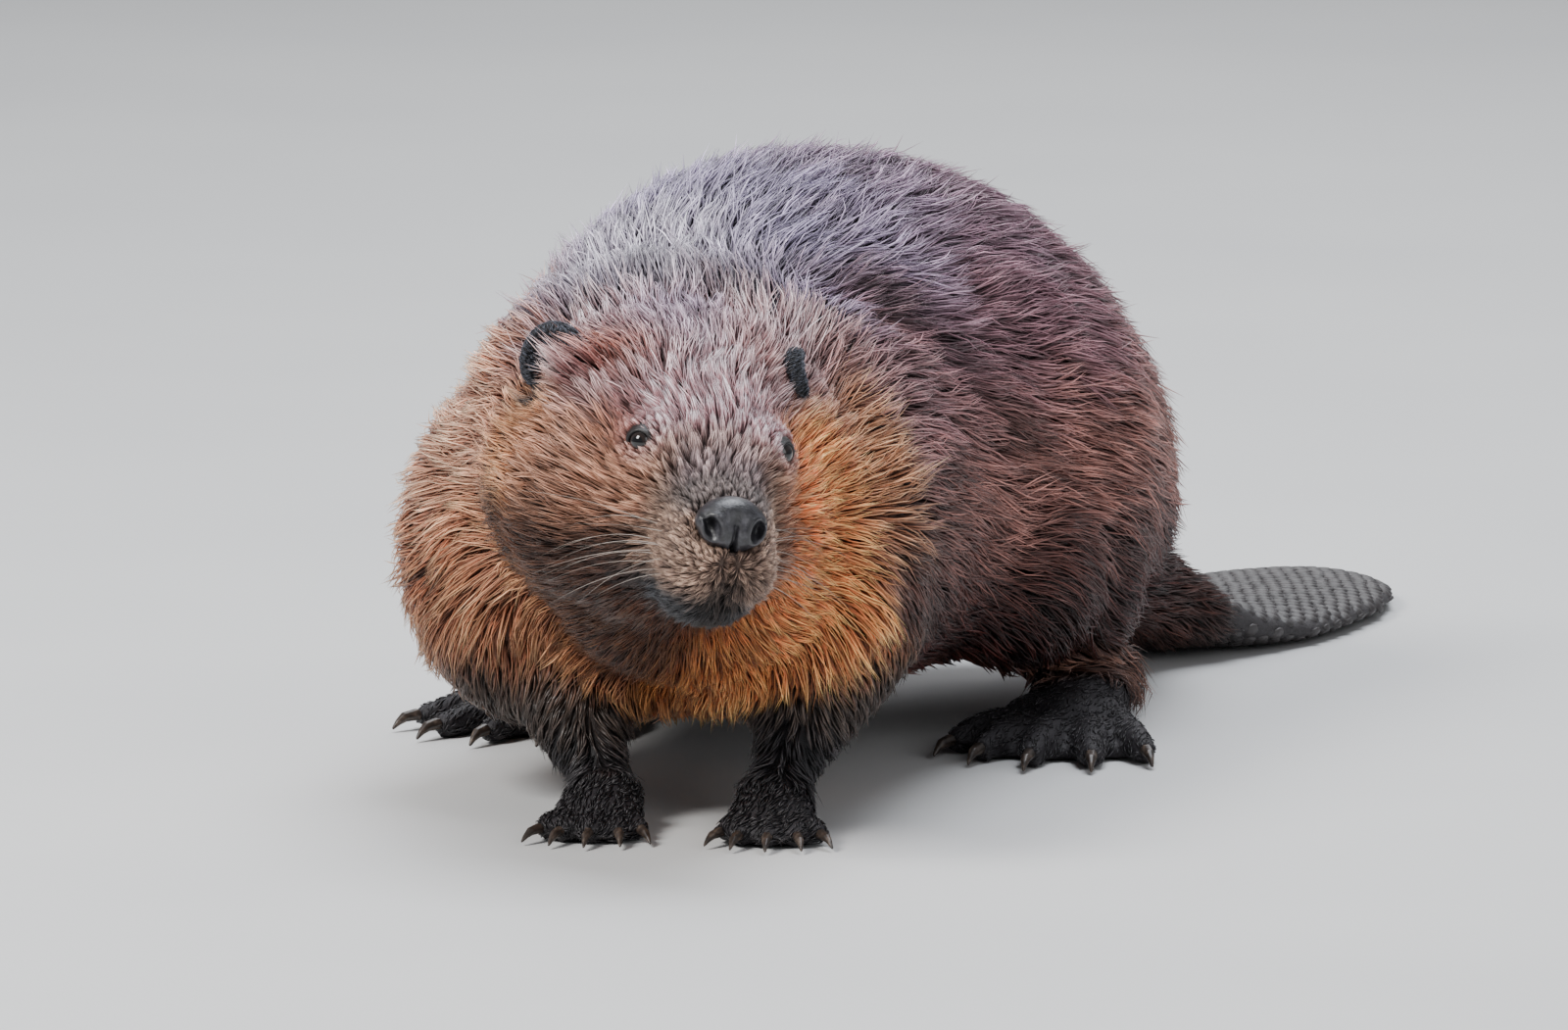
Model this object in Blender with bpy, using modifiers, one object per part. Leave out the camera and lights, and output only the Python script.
"""A life-size Eurasian beaver, crouched on all fours with its head turned to its left.

Metres, +Z up. The animal faces -Y and its left side is +X. It stands on the plane z = 0, and the origin
is the middle of its box on that plane. The solids reach out to the tips of the coat.
"""

import math

import bmesh
import bpy
from mathutils import Euler, Matrix, Vector

# ---------------------------------------------------------------- driving sizes

GAP = 0.0004                  # between neighbouring solids
TRUNK_LENGTH = 0.475          # breast to the root of the tail
TRUNK_HEIGHT = 0.256          # floor to the top of the back
TRUNK_WIDTH = 0.240           # across the back, inside the haunches
WIDEST_AT = 0.38              # the widest level, as a share of each section's height
HEAD_LENGTH = 0.165           # nose tip to the back of the skull
HEAD_PLACE = (0.034, -0.096, 0.156)    # the middle of the skull
HEAD_TURN = 35                # degrees to its left
HEAD_NOD = 7                  # degrees nose down
HEAD_ROLL = 7                 # degrees, left ear down
EYE_RADIUS = 0.0062
EAR_LENGTH = 0.033             # along its root
EAR_REACH = 0.0158             # from the middle of its root to its edge
TAIL_LENGTH = 0.29
TAIL_WIDTH = 0.122
TAIL_ROOT_WIDTH = 0.080
TAIL_THICKNESS = 0.021
FOREPAW_LENGTH = 0.060        # heel to toe tips, without claws

VOXEL = 0.0055                # grain of the blended body
FOOT_VOXEL = 0.0021           # grain of the blended feet
BODY_TRIANGLES = 1650
FOREPAW_TRIANGLES = 250
HIND_FOOT_TRIANGLES = 290
BIG = 2.0                     # side of a cutter that stands for a half space


# ---------------------------------------------------------------- scene and finishes

def clear_scene():
    """Removes what is in the scene, and makes the two collections."""
    for obj in list(bpy.data.objects):
        bpy.data.objects.remove(obj)
    made = []
    for name in ("beaver", "cutters"):
        collection = bpy.data.collections.new(name)
        bpy.context.scene.collection.children.link(collection)
        made.append(collection)
    return made


def material(name, colour, roughness):
    """A plain Principled finish."""
    finish = bpy.data.materials.new(name)
    finish.use_nodes = True
    shader = finish.node_tree.nodes["Principled BSDF"]
    shader.inputs["Base Color"].default_value = (*colour, 1)
    shader.inputs["Roughness"].default_value = roughness
    shader.inputs["Metallic"].default_value = 0
    return finish


BEAVER, CUTTERS = clear_scene()
FINISHES = {
    "coat": material("coat", (0.19, 0.11, 0.075), 0.7),
    "cheek_fur": material("cheek_fur", (0.42, 0.23, 0.12), 0.7),
    "nose_skin": material("nose_skin", (0.045, 0.042, 0.045), 0.35),
    "ear_skin": material("ear_skin", (0.035, 0.035, 0.04), 0.6),
    "foot_skin": material("foot_skin", (0.04, 0.035, 0.037), 0.5),
    "tail_skin": material("tail_skin", (0.06, 0.055, 0.055), 0.55),
    "claw": material("claw", (0.05, 0.04, 0.035), 0.35),
    "eye": material("eye", (0.012, 0.010, 0.010), 0.08),
}


# ---------------------------------------------------------------- making shapes

def place(obj, collection):
    """Moves obj into one collection."""
    for holder in list(obj.users_collection):
        holder.objects.unlink(obj)
    collection.objects.link(obj)


def helper(obj):
    """Marks obj as a cutter or a guide, which isn't part of the beaver."""
    place(obj, CUTTERS)
    obj.hide_render = True
    obj.display_type = "WIRE"
    return obj


def node(name, mesh, finish):
    """A named solid of the beaver."""
    obj = bpy.data.objects.new(name, mesh)
    mesh.name = name
    mesh.materials.clear()
    mesh.materials.append(FINISHES[finish])
    BEAVER.objects.link(obj)
    return obj


def ellipsoid(centre, radii, turn=(0, 0, 0), parent=None, segments=24, rings=14):
    """A stretched sphere, turned by degrees about X, Y and Z, in its parent's space."""
    bpy.ops.mesh.primitive_uv_sphere_add(segments=segments, ring_count=rings, radius=1)
    obj = bpy.context.object
    obj.parent = parent
    obj.location = centre
    obj.rotation_euler = [math.radians(angle) for angle in turn]
    obj.scale = radii
    return helper(obj)


def both_sides(centre, radii, turn=(0, 0, 0), parent=None):
    """An ellipsoid and its mirror image across x = 0 of its parent."""
    x, y, z = centre
    about_x, about_y, about_z = turn
    return [
        ellipsoid((x, y, z), radii, turn, parent),
        ellipsoid((-x, y, z), radii, (about_x, -about_y, -about_z), parent),
    ]


def limb(points, radii, parent=None, facets=3, steps=4):
    """A tapering limb along a smooth curve through points, as a mesh with welded caps."""
    curve = bpy.data.curves.new("limb", "CURVE")
    curve.dimensions = "3D"
    curve.bevel_depth = 1
    curve.bevel_resolution = facets
    curve.use_fill_caps = True
    curve.resolution_u = steps
    spline = curve.splines.new("BEZIER")
    spline.bezier_points.add(len(points) - 1)
    for bezier, point, radius in zip(spline.bezier_points, points, radii):
        bezier.co = point
        bezier.radius = radius
        bezier.handle_left_type = bezier.handle_right_type = "AUTO"
    drawn = bpy.data.objects.new("limb", curve)
    CUTTERS.objects.link(drawn)
    drawn.parent = parent
    solid = bpy.data.objects.new("limb", evaluated_mesh(drawn))
    bpy.data.objects.remove(drawn)
    return helper(linked(solid))


def linked(obj):
    """Puts a new object in the scene, so that it can be evaluated."""
    CUTTERS.objects.link(obj)
    return obj


def evaluated_mesh(obj, weld=1e-5):
    """The mesh of obj with its modifiers, in world space, and its doubles merged."""
    bpy.context.view_layer.update()
    graph = bpy.context.evaluated_depsgraph_get()
    mesh = bpy.data.meshes.new_from_object(obj.evaluated_get(graph))
    mesh.transform(obj.matrix_world)
    shape = bmesh.new()
    shape.from_mesh(mesh)
    bmesh.ops.remove_doubles(shape, verts=shape.verts, dist=weld)
    shape.to_mesh(mesh)
    shape.free()
    return mesh


def loft(rings):
    """A closed solid through rings of points, each ring with the same count, and flat ends."""
    shape = bmesh.new()
    rows = [[shape.verts.new(point) for point in ring] for ring in rings]
    count = len(rows[0])
    for row, after in zip(rows, rows[1:]):
        for i in range(count):
            k = (i + 1) % count
            shape.faces.new((row[i], row[k], after[k], after[i]))
    shape.faces.new(reversed(rows[0]))
    shape.faces.new(rows[-1])
    bmesh.ops.recalc_face_normals(shape, faces=shape.faces)
    mesh = bpy.data.meshes.new("loft")
    shape.to_mesh(mesh)
    shape.free()
    return helper(linked(bpy.data.objects.new("loft", mesh)))


def blended(shapes, voxel, smoothing, triangles):
    """One smooth closed mesh round overlapping shapes, thinned to about that many triangles."""
    together = bmesh.new()
    for obj in shapes:
        together.from_mesh(evaluated_mesh(obj))
    mesh = bpy.data.meshes.new("blend")
    together.to_mesh(mesh)
    together.free()
    obj = linked(bpy.data.objects.new("blend", mesh))
    remesh = obj.modifiers.new("grain", "REMESH")
    remesh.mode = "VOXEL"
    remesh.voxel_size = voxel
    smooth = obj.modifiers.new("smooth", "SMOOTH")
    smooth.factor = 0.5
    smooth.iterations = smoothing
    mesh = evaluated_mesh(obj)
    obj.modifiers.clear()
    obj.data = mesh
    thin = obj.modifiers.new("thin", "DECIMATE")
    thin.ratio = triangles / (2 * len(mesh.polygons))
    thin.use_collapse_triangulate = True
    obj.data = evaluated_mesh(obj, weld=1e-4)
    obj.modifiers.clear()
    return helper(obj)


def swollen(obj, by=GAP):
    """A copy of a helper whose surface stands out by the gap, for cutting its neighbours."""
    copy = linked(bpy.data.objects.new(obj.name + "_swollen", evaluated_mesh(obj)))
    push = copy.modifiers.new("push", "DISPLACE")
    push.strength = by
    push.mid_level = 0
    copy.data = evaluated_mesh(copy)
    copy.modifiers.clear()
    return helper(copy)


def half_space(point, facing):
    """A large box that fills the side of a point that facing looks to, from half a gap before it."""
    direction = Vector(facing).normalized()
    bpy.ops.mesh.primitive_cube_add(size=BIG)
    obj = bpy.context.object
    obj.rotation_mode = "QUATERNION"
    obj.rotation_quaternion = direction.to_track_quat("Z", "Y")
    obj.location = Vector(point) + direction * (BIG - GAP) / 2
    return helper(obj)


def carved(name, source, finish, keep=None, remove=()):
    """A node: source, kept only inside the shape keep, less the shapes in remove."""
    obj = node(name, source.data.copy(), finish)
    steps = [(keep, "INTERSECT")] if keep else []
    steps += [(cutter, "DIFFERENCE") for cutter in remove]
    for cutter, operation in steps:
        cut = obj.modifiers.new(operation.lower(), "BOOLEAN")
        cut.operation = operation
        cut.object = cutter
    return obj


def frame(place_at, turn=(0, 0, 0)):
    """An empty that carries a sub-assembly, turned by degrees about X, Y and Z."""
    empty = bpy.data.objects.new("frame", None)
    CUTTERS.objects.link(empty)
    empty.location = place_at
    empty.rotation_euler = [math.radians(angle) for angle in turn]
    return empty


# ---------------------------------------------------------------- trunk and neck

# Along the trunk: share of its length from the breast, sideways place, and the section's foot, top and
# half width as shares of the trunk's height and half width.
TRUNK_SECTIONS = (
    (0.00, 0.034, 0.290, 0.700, 0.46),
    (0.06, 0.026, 0.190, 0.830, 0.68),
    (0.15, 0.010, 0.130, 0.905, 0.87),
    (0.26, -0.003, 0.105, 0.955, 0.95),
    (0.39, -0.012, 0.095, 0.990, 0.97),
    (0.52, -0.013, 0.090, 1.005, 1.01),
    (0.65, -0.008, 0.090, 0.990, 1.04),
    (0.77, 0.002, 0.100, 0.925, 0.98),
    (0.87, 0.014, 0.115, 0.800, 0.83),
    (0.94, 0.026, 0.120, 0.620, 0.61),
    (1.00, 0.040, 0.110, 0.440, 0.38),
)
BREAST_Y = -0.075             # where the trunk begins, before the whole is centred
SECTION_POINTS = 24
BACK_ROUNDNESS = 2.05         # superellipse powers of a section's upper and lower half
BELLY_ROUNDNESS = 2.5


def superellipse(angle, power):
    """Across and up, each from -1 to 1, on a superellipse of that power."""
    across, up = math.cos(angle), math.sin(angle)
    return (
        math.copysign(abs(across) ** (2 / power), across),
        math.copysign(abs(up) ** (2 / power), up),
    )


def trunk_section(share, sideways, foot, top, half_width):
    """The points of one section of the trunk, in an upright plane."""
    low, high = foot * TRUNK_HEIGHT, top * TRUNK_HEIGHT
    widest = low + WIDEST_AT * (high - low)
    points = []
    for i in range(SECTION_POINTS):
        angle = 2 * math.pi * i / SECTION_POINTS
        across, up = superellipse(angle, BACK_ROUNDNESS if angle < math.pi else BELLY_ROUNDNESS)
        points.append((
            sideways + across * half_width * TRUNK_WIDTH / 2,
            BREAST_Y + share * TRUNK_LENGTH,
            widest + up * (high - widest if up > 0 else widest - low),
        ))
    return points


def trunk_masses():
    """The barrel of the body, its shoulders and its haunches."""
    barrel = loft([trunk_section(*section) for section in TRUNK_SECTIONS])
    shoulders = [
        ellipsoid((0.070, 0.000, 0.110), (0.046, 0.072, 0.076), (0, 0, 10)),
        ellipsoid((-0.069, 0.018, 0.104), (0.059, 0.084, 0.080), (0, 0, 10)),
    ]
    haunches = [
        ellipsoid((0.074, 0.258, 0.105), (0.050, 0.086, 0.086), (0, 0, -6)),
        ellipsoid((-0.088, 0.254, 0.105), (0.050, 0.086, 0.086), (0, 0, -6)),
    ]
    knees = [
        ellipsoid((0.083, 0.208, 0.075), (0.039, 0.062, 0.050)),
        ellipsoid((-0.099, 0.206, 0.075), (0.039, 0.062, 0.050)),
    ]
    return [barrel, *shoulders, *haunches, *knees]


def neck_masses():
    """The thick neck, between the skull and the shoulders, and the throat below it."""
    return [
        ellipsoid((0.022, -0.058, 0.152), (0.084, 0.072, 0.074), (0, 0, 28)),
        ellipsoid((0.006, -0.012, 0.160), (0.094, 0.080, 0.080), (0, 0, 14)),
        ellipsoid((0.034, -0.062, 0.112), (0.066, 0.062, 0.056), (0, 0, 28)),
    ]


# ---------------------------------------------------------------- head

HEAD = frame(HEAD_PLACE, (HEAD_NOD, HEAD_ROLL, HEAD_TURN))
SKULL_HALF = HEAD_LENGTH * 0.34         # half the width of the brain case
NOSE_TIP_Y = -0.70 * HEAD_LENGTH        # forward of the middle of the skull
EYE_PLACE = (0.0285, -0.060, 0.0262)    # the left eye's centre, in the head's frame
EAR_PLACES = {"left": (0.0520, 0.004, 0.0400), "right": (-0.0500, 0.019, 0.0380)}
EAR_TURNS = {"left": 54, "right": -50}  # degrees that each opening faces outwards
EAR_TIPS = {"left": -24, "right": -10}   # degrees that each opening tips upwards


def head_masses():
    """Brain case, brow, muzzle, lips, cheeks, chin and throat."""
    tip = NOSE_TIP_Y
    middle = [
        ellipsoid((0, 0.006, 0.008), (SKULL_HALF, 0.060, 0.054), parent=HEAD),
        ellipsoid((0, -0.034, 0.014), (0.045, 0.052, 0.038), (12, 0, 0), parent=HEAD),
        ellipsoid((0, tip + 0.046, 0.002), (0.0265, 0.050, 0.0225), (10, 0, 0), parent=HEAD),
        ellipsoid((0, tip + 0.034, -0.013), (0.0262, 0.036, 0.0235), parent=HEAD),
        ellipsoid((0, -0.018, -0.030), (0.046, 0.047, 0.034), parent=HEAD),
        ellipsoid((0, tip + 0.034, -0.031), (0.0200, 0.031, 0.0140), (-8, 0, 0), parent=HEAD),
    ]
    cheeks = both_sides((0.034, -0.002, -0.012), (0.036, 0.050, 0.045), (0, 0, 8), parent=HEAD)
    jowls = both_sides((0.024, -0.036, -0.016), (0.024, 0.034, 0.029), (0, 0, 16), parent=HEAD)
    lips = both_sides((0.0105, tip + 0.020, -0.0150), (0.0155, 0.0195, 0.0185), parent=HEAD)
    return [*middle, *cheeks, *jowls, *lips]


# ---------------------------------------------------------------- legs

# Each foot's frame stands on the floor, under the wrist or the heel, with the toes towards its -Y.
FOREPAWS = {
    "left": frame((0.066, -0.052, 0), (0, 0, 16)),
    "right": frame((-0.004, -0.066, 0), (0, 0, 12)),
}
HIND_FEET = {
    "left": frame((0.094, 0.280, 0), (0, 0, 8)),
    "right": frame((-0.100, 0.262, 0), (0, 0, -10)),
}
ELBOWS = {"left": (0.082, 0.000, 0.085), "right": (-0.066, 0.004, 0.082)}
HOCKS = {"left": (0.090, 0.262, 0.060), "right": (-0.100, 0.252, 0.060)}


def foreleg_mass(side):
    """Elbow to wrist."""
    wrist = FOREPAWS[side].location
    elbow = Vector(ELBOWS[side])
    middle = elbow.lerp(Vector((wrist.x, wrist.y, 0.020)), 0.5)
    return limb([elbow, middle, (wrist.x, wrist.y, 0.016)], [0.036, 0.026, 0.0145])


def hindleg_mass(side):
    """Hock to heel."""
    heel = HIND_FEET[side].location
    return limb([HOCKS[side], (heel.x, heel.y - 0.004, 0.020)], [0.034, 0.020])


# ---------------------------------------------------------------- feet

# For each toe, from the inner to the outer: sideways place of its root, its length and its spread in
# degrees, for a left foot.
FOREPAW_TOES = (
    (-0.0135, 0.014, -26),
    (-0.0080, 0.021, -11),
    (0.0000, 0.024, 0),
    (0.0080, 0.022, 11),
    (0.0140, 0.017, 25),
)
HIND_TOES = (
    (-0.021, 0.050, -22),
    (-0.011, 0.066, -11),
    (0.000, 0.076, 0),
    (0.012, 0.074, 11),
    (0.023, 0.060, 23),
)
FOREPAW_TOE_RADII = (0.0062, 0.0052)    # root and tip
HIND_TOE_RADII = (0.0085, 0.0062)
WEB_THICKNESS = 0.0045
WEB_REACH = 0.86                        # share of each toe that the web runs along
SINK = 0.0012                           # how far a sole dips under the floor before it is cut flat
FLOOR = half_space((0, 0, -GAP / 2), (0, 0, -1))


def toe_ends(root_y, toe, radius, mirrored):
    """The root and the tip of one toe, in its foot's frame."""
    sideways, length, spread = toe
    angle = math.radians(spread)
    side = -1 if mirrored else 1
    root = Vector((side * sideways, root_y, radius[0] - SINK))
    tip = root + Vector((side * math.sin(angle) * length, -math.cos(angle) * length, 0))
    tip.z = radius[1] - SINK
    return root, tip


def toe_mass(root, tip, radii, parent):
    """One toe, arched a little over its middle joint."""
    knuckle = root.lerp(tip, 0.55) + Vector((0, 0, 0.35 * radii[0]))
    return limb([root, knuckle, tip], [radii[0], (radii[0] + radii[1]) / 2, radii[1]], parent)


def web_mass(ends, parent):
    """The flat web between the toes, scalloped between their tips."""
    outline = [ends[0][0]]
    for (root, tip), after in zip(ends, [*ends[1:], None]):
        outline.append(root.lerp(tip, WEB_REACH))
        if after:
            outline.append((root.lerp(tip, 0.70) + after[0].lerp(after[1], 0.70)) / 2)
    outline.append(ends[-1][0])
    curve = bpy.data.curves.new("web", "CURVE")
    curve.dimensions = "2D"
    curve.fill_mode = "BOTH"
    curve.extrude = WEB_THICKNESS / 2
    spline = curve.splines.new("POLY")
    spline.points.add(len(outline) - 1)
    for point, corner in zip(spline.points, outline):
        point.co = (corner.x, corner.y, 0, 1)
    spline.use_cyclic_u = True
    drawn = bpy.data.objects.new("web", curve)
    CUTTERS.objects.link(drawn)
    drawn.parent = parent
    drawn.location.z = WEB_THICKNESS / 2 + 0.0005
    solid = bpy.data.objects.new("web", evaluated_mesh(drawn))
    bpy.data.objects.remove(drawn)
    return helper(linked(solid))


def claw_shape(tip, root, length, radius, parent):
    """A claw that leaves the toe at its tip and curves down to just above the floor."""
    ahead = (tip - root).normalized()
    ahead.z = 0
    start = tip - ahead * 2 * radius + Vector((0, 0, 0.0012))
    middle = tip + ahead * length * 0.55 + Vector((0, 0, 0.0012))
    end = tip + ahead * length
    end.z = 0.0016
    return limb([start, middle, end], [radius, radius * 0.72, radius * 0.22], parent, facets=1, steps=2)


def foot(name, side, parent, toes, toe_radii, root_y, pads, claw_size, triangles, web):
    """One foot with its toes, cut flat below, and its claws. Returns the foot's blend, for cutting."""
    mirrored = side == "right"
    ends = [toe_ends(root_y, toe, toe_radii, mirrored) for toe in toes]
    masses = [ellipsoid(centre, radii, parent=parent) for centre, radii in pads]
    masses += [toe_mass(root, tip, toe_radii, parent) for root, tip in ends]
    if web:
        masses.append(web_mass(ends, parent))
    blend = blended(masses, FOOT_VOXEL, 3, triangles)
    carved(f"{name}_{side}", blend, "foot_skin", remove=[FLOOR])
    around = swollen(blend)
    length, radius = claw_size
    for number, (root, tip) in enumerate(ends, 1):
        claw = claw_shape(tip, root, length, radius, parent)
        carved(f"{name}_{side}_claw_{number}", claw, "claw", remove=[around])
    return around


def forepaw(side):
    """A forepaw: a short palm and five free toes with long claws."""
    half = FOREPAW_LENGTH / 2
    pads = (
        ((0, -0.006, 0.013), (0.017, 0.019, 0.0145)),
        ((0, -0.45 * half - 0.006, 0.0095), (0.019, 0.017, 0.0107)),
    )
    return foot("forepaw", side, FOREPAWS[side], FOREPAW_TOES, FOREPAW_TOE_RADII,
                -0.026, pads, (0.015, 0.0028), FOREPAW_TRIANGLES, web=False)


def hind_foot(side):
    """A hind foot: a long flat sole and five toes joined by a web."""
    pads = (
        ((0, 0.002, 0.0155), (0.018, 0.024, 0.0170)),
        ((0, -0.034, 0.0125), (0.022, 0.036, 0.0140)),
        ((0, -0.066, 0.0100), (0.029, 0.024, 0.0113)),
    )
    return foot("hind_foot", side, HIND_FEET[side], HIND_TOES, HIND_TOE_RADII,
                -0.074, pads, (0.014, 0.0034), HIND_FOOT_TRIANGLES, web=True)


# ---------------------------------------------------------------- tail

TAIL_START = Vector((0.050, BREAST_Y + TRUNK_LENGTH - 0.022, 0))
TAIL_HEADING = 9              # degrees from +Y towards +X, at its root
TAIL_BEND = -9                # further degrees by its tip
TAIL_ROOT_SHARE = 0.20        # the furred root, as a share of the tail
TAIL_RINGS = 13
TAIL_POINTS = 16


def tail_point(share):
    """A point on the tail's middle line, on the floor, and the direction along it."""
    steps = 24
    point = TAIL_START.copy()
    for i in range(steps):
        angle = math.radians(TAIL_HEADING + TAIL_BEND * share * i / steps)
        along = Vector((math.sin(angle), math.cos(angle), 0))
        point += along * TAIL_LENGTH * share / steps
    return point, along


def tail_section(share):
    """Half width, foot and top of the tail at a share of its length."""
    rooted = max(0.0, 1 - share / 0.40)
    blade = max(0.0, min(1.0, (share - 0.12) / 0.36))
    blade = blade * blade * (3 - 2 * blade)
    tip = math.sqrt(max(0.0, 1 - max(0.0, (share - 0.58) / 0.42) ** 2.3))
    half_width = (TAIL_ROOT_WIDTH / 2 + (TAIL_WIDTH - TAIL_ROOT_WIDTH) / 2 * blade) * max(tip, 0.08)
    thickness = (TAIL_THICKNESS + 0.056 * rooted ** 1.3) * (0.42 + 0.58 * tip) * (1 - 0.30 * share)
    return half_width, 0.024 * rooted ** 1.6, thickness


def tail_ring(share):
    """The points of one section of the tail, flat where it lies on the floor."""
    point, along = tail_point(share)
    across = Vector((along.y, -along.x, 0))
    half_width, lift, thickness = tail_section(share)
    middle = lift + 0.36 * thickness
    ring = []
    for i in range(TAIL_POINTS):
        side, up = superellipse(2 * math.pi * i / TAIL_POINTS, 1.9)
        height = up * (thickness - middle + lift if up > 0 else middle - lift + SINK)
        ring.append(point + across * side * half_width + Vector((0, 0, middle + height)))
    return ring


def tail():
    """The furred root and the scaly blade, parted by a thin cut."""
    whole = loft([tail_ring(1 - (1 - i / (TAIL_RINGS - 1)) ** 1.35) for i in range(TAIL_RINGS)])
    point, along = tail_point(TAIL_ROOT_SHARE)
    carved("tail_blade", whole, "tail_skin", remove=[FLOOR, half_space(point, -along)])
    return whole, half_space(point, along)


# ---------------------------------------------------------------- face pieces

def eyes(head_cutters):
    """Two eyeballs, and the sockets that they sit in."""
    for side, name in ((1, "left"), (-1, "right")):
        x, y, z = EYE_PLACE
        ball = ellipsoid((side * x, y, z), (EYE_RADIUS,) * 3, parent=HEAD, segments=12, rings=7)
        node(f"eye_{name}", evaluated_mesh(ball), "eye")
        head_cutters.append(swollen(ball))


def ears(body):
    """Two small round ears, cupped forwards, that stand out from the corners of the head."""
    around = swollen(body)
    for side, name in ((1, "left"), (-1, "right")):
        centre = Vector(EAR_PLACES[name])
        tilt = (EAR_TIPS[name], side * 40, EAR_TURNS[name])
        turned = Euler([math.radians(angle) for angle in tilt]).to_matrix()
        radii = (EAR_LENGTH / 2, 0.0072, EAR_REACH)
        shell = ellipsoid(centre, radii, tilt, HEAD, segments=16, rings=9)
        hollow_at = centre + turned @ Vector((0, -0.0080, 0.0015))
        hollow = ellipsoid(hollow_at, (radii[0] * 0.78, 0.0095, radii[2] * 0.78), tilt, HEAD,
                           segments=16, rings=9)
        solid = helper(linked(bpy.data.objects.new("ear", evaluated_mesh(shell))))
        carved(f"ear_{name}", solid, "ear_skin", remove=[swollen(hollow, 0), around])


def nose(head_cutters):
    """The bare nose pad, with its two nostrils and the groove between them."""
    pad_at = (0, NOSE_TIP_Y + 0.0095, 0.0055)
    pad = blended(
        [ellipsoid(pad_at, (0.0150, 0.0105, 0.0125), parent=HEAD, segments=16, rings=10),
         *both_sides((0.0075, NOSE_TIP_Y + 0.0085, 0.003), (0.0082, 0.0100, 0.0100), parent=HEAD)],
        0.0018, 2, 200)
    pits = [
        ellipsoid((side * 0.0098, NOSE_TIP_Y - 0.0005, 0.0045), (0.0026, 0.0048, 0.0022),
                  (0, side * 35, side * 20), HEAD, segments=10, rings=6)
        for side in (1, -1)
    ]
    cuts = [swollen(pit, 0) for pit in pits]
    carved("nose", pad, "nose_skin", remove=cuts)
    head_cutters.append(swollen(pad))


# ---------------------------------------------------------------- the whole animal

def in_head(point):
    """A point of the head's frame, in world space."""
    return HEAD.matrix_world @ Vector(point)


def head_direction(direction):
    """A direction of the head's frame, in world space."""
    return HEAD.matrix_world.to_3x3() @ Vector(direction)


def half_space_cut(name, source, cutters):
    """A helper: source less some cutters, in world space."""
    obj = linked(bpy.data.objects.new(name, evaluated_mesh(source)))
    for cutter in cutters:
        cut = obj.modifiers.new("cut", "BOOLEAN")
        cut.operation = "DIFFERENCE"
        cut.object = cutter
    mesh = evaluated_mesh(obj)
    obj.modifiers.clear()
    obj.data = mesh
    return helper(obj)


def head_region():
    """The space of the head: a large ellipsoid round the skull, cut off behind it."""
    around = ellipsoid((0, -0.035, -0.006), (0.090, 0.125, 0.088), parent=HEAD, segments=18, rings=11)
    behind = half_space(in_head((0, 0.040, 0)), head_direction((0, 1, -0.12)))
    return half_space_cut("head_region", around, [behind])


def jaw_region():
    """The space of the lower jaw: below the line of the mouth and ahead of the cheeks."""
    bpy.ops.mesh.primitive_cube_add(size=1)
    obj = bpy.context.object
    obj.parent = HEAD
    obj.scale = (0.090, 0.075, 0.050)
    obj.location = (0, -0.0985, -0.0510)
    obj.rotation_euler.x = math.radians(-8)
    return helper(obj)


def leg_regions():
    """For each leg, the space that its node fills, and the same swollen by the gap."""
    regions = {}
    for side, sign in (("left", 1), ("right", -1)):
        elbow = Vector(ELBOWS[side]) + Vector((0, 0, 0.025))
        wrist = Vector((FOREPAWS[side].location.x, FOREPAWS[side].location.y, -0.012))
        arm = limb([elbow, elbow.lerp(wrist, 0.5), wrist], [0.058, 0.047, 0.031])
        heel = HIND_FEET[side].location
        centre = (heel.x + sign * 0.012, heel.y - 0.022, 0.078)
        leg = ellipsoid(centre, (0.066, 0.098, 0.100), segments=16, rings=9)
        for name, region in (("foreleg", arm), ("thigh", leg)):
            regions[f"{name}_{side}"] = (region, swollen(region))
    return regions


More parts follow.
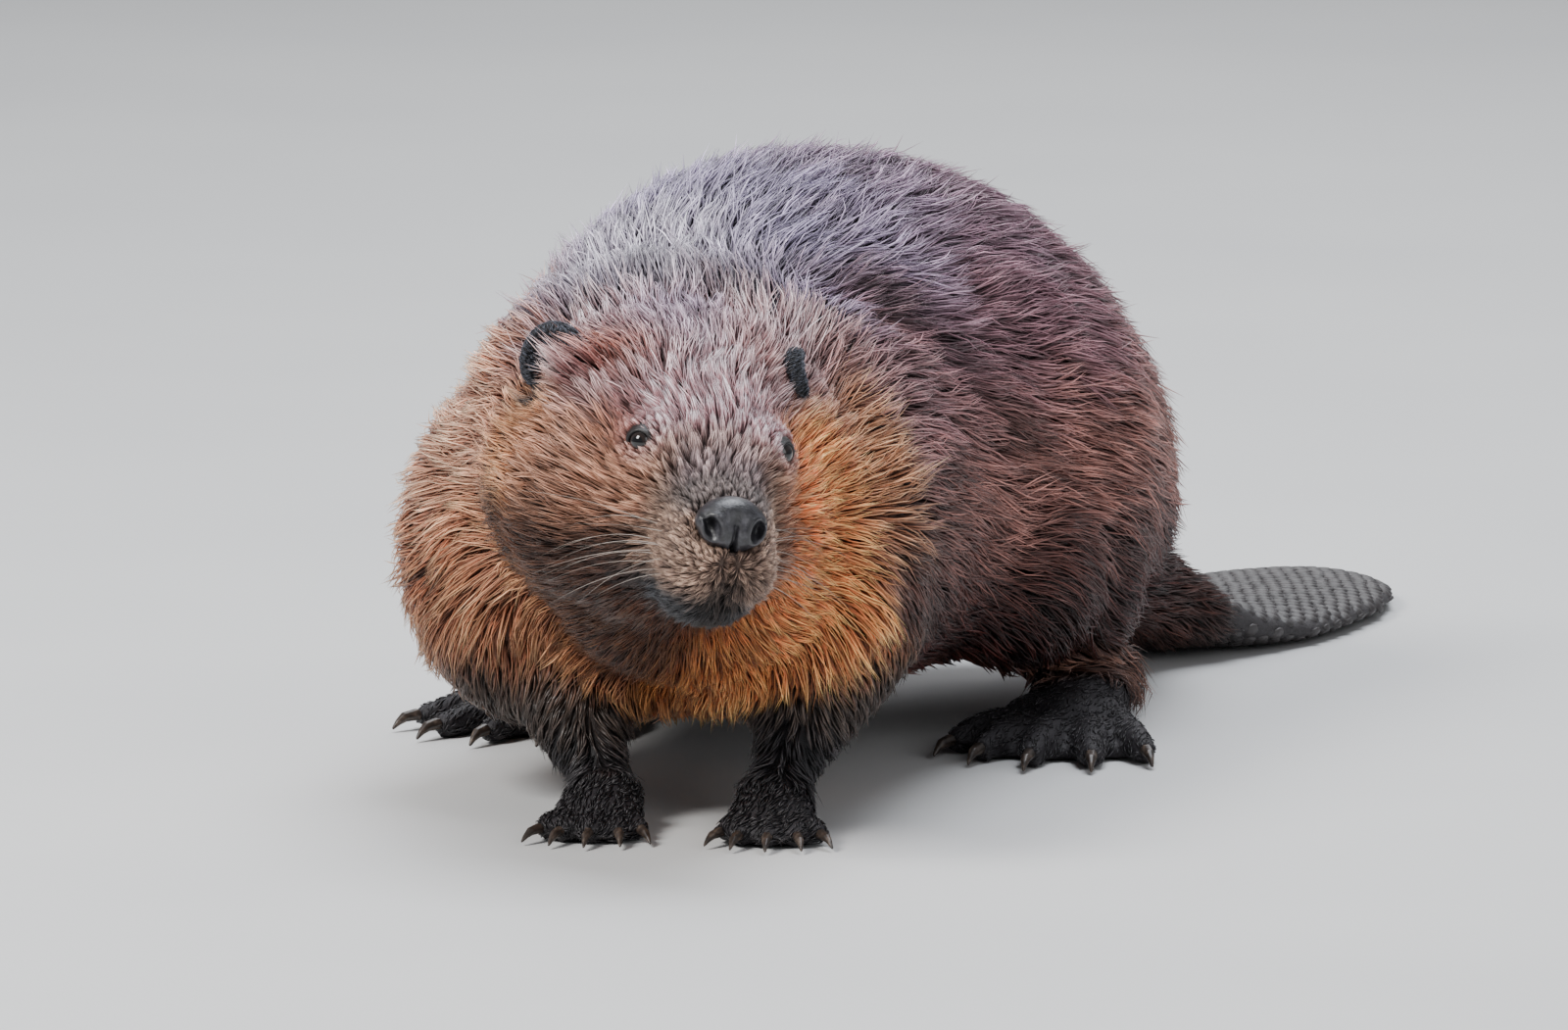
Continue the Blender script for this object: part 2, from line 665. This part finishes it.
def body_nodes(body, feet, tail_cut, head_cutters):
    """Parts the blended body with thin cuts, front to back."""
    before_chest = (Vector((0.010, -0.040, 0.15)), Vector((0.30, -1, 0.05)))
    behind_chest = (Vector((0, 0.090, 0)), Vector((0, -1, 0)))
    before_rump = (Vector((0, 0.200, 0)), Vector((0, -1, 0)))
    before_tail = (Vector((0.040, 0.378, 0)), Vector((-0.26, -1, -0.10)))

    def ahead_of(plane):
        return half_space(*plane)

    def back_of(plane):
        return half_space(plane[0], -plane[1])

    skull = head_region()
    skull_swollen = swollen(skull)
    jaw = jaw_region()
    regions = leg_regions()
    arms = [regions["foreleg_left"][1], regions["foreleg_right"][1]]
    thighs = [regions["thigh_left"][1], regions["thigh_right"][1]]
    paws = [feet["forepaw_left"], feet["forepaw_right"]]
    soles = [feet["hind_foot_left"], feet["hind_foot_right"]]

    carved("lower_jaw", body, "coat", keep=jaw)
    carved("head", body, "cheek_fur", keep=skull, remove=[swollen(jaw), *head_cutters])
    carved("neck", body, "cheek_fur", remove=[skull_swollen, back_of(before_chest), *arms])
    carved("chest", body, "coat",
           remove=[skull_swollen, ahead_of(before_chest), back_of(behind_chest), *arms])
    carved("belly", body, "coat", remove=[ahead_of(behind_chest), back_of(before_rump), *thighs, *arms])
    carved("rump", body, "coat", remove=[ahead_of(before_rump), back_of(before_tail), *thighs])
    carved("tail_root", body, "coat", remove=[ahead_of(before_tail), tail_cut, *thighs, FLOOR])
    for side in ("left", "right"):
        arm, leg = regions[f"foreleg_{side}"][0], regions[f"thigh_{side}"][0]
        carved(f"foreleg_{side}", body, "coat", keep=arm, remove=[skull_swollen, *paws, FLOOR])
        carved(f"thigh_{side}", body, "coat", keep=leg, remove=[*soles, FLOOR])


def centre_on_floor():
    """Moves every solid, so that the origin is the middle of the box at floor level."""
    solids = {obj.name: evaluated_mesh(obj) for obj in BEAVER.objects}
    corners = [vertex.co for mesh in solids.values() for vertex in mesh.vertices]
    shift = Vector([
        -(min(c[i] for c in corners) + max(c[i] for c in corners)) / 2 if i < 2
        else -min(c[2] for c in corners)
        for i in range(3)
    ])
    for name, mesh in solids.items():
        obj = bpy.data.objects[name]
        obj.modifiers.clear()
        obj.data = mesh
        mesh.name = name
        mesh.transform(Matrix.Translation(shift))


def build():
    """Builds the beaver."""
    bpy.context.view_layer.update()
    feet = {}
    for side in ("left", "right"):
        feet[f"forepaw_{side}"] = forepaw(side)
        feet[f"hind_foot_{side}"] = hind_foot(side)
    whole_tail, tail_cut = tail()
    legs = [foreleg_mass(side) for side in ("left", "right")]
    legs += [hindleg_mass(side) for side in ("left", "right")]
    masses = [*trunk_masses(), *neck_masses(), *head_masses(), *legs, whole_tail]
    body = blended(masses, VOXEL, 7, BODY_TRIANGLES)
    head_cutters = []
    eyes(head_cutters)
    nose(head_cutters)
    ears(body)
    body_nodes(body, feet, tail_cut, head_cutters)
    centre_on_floor()


build()
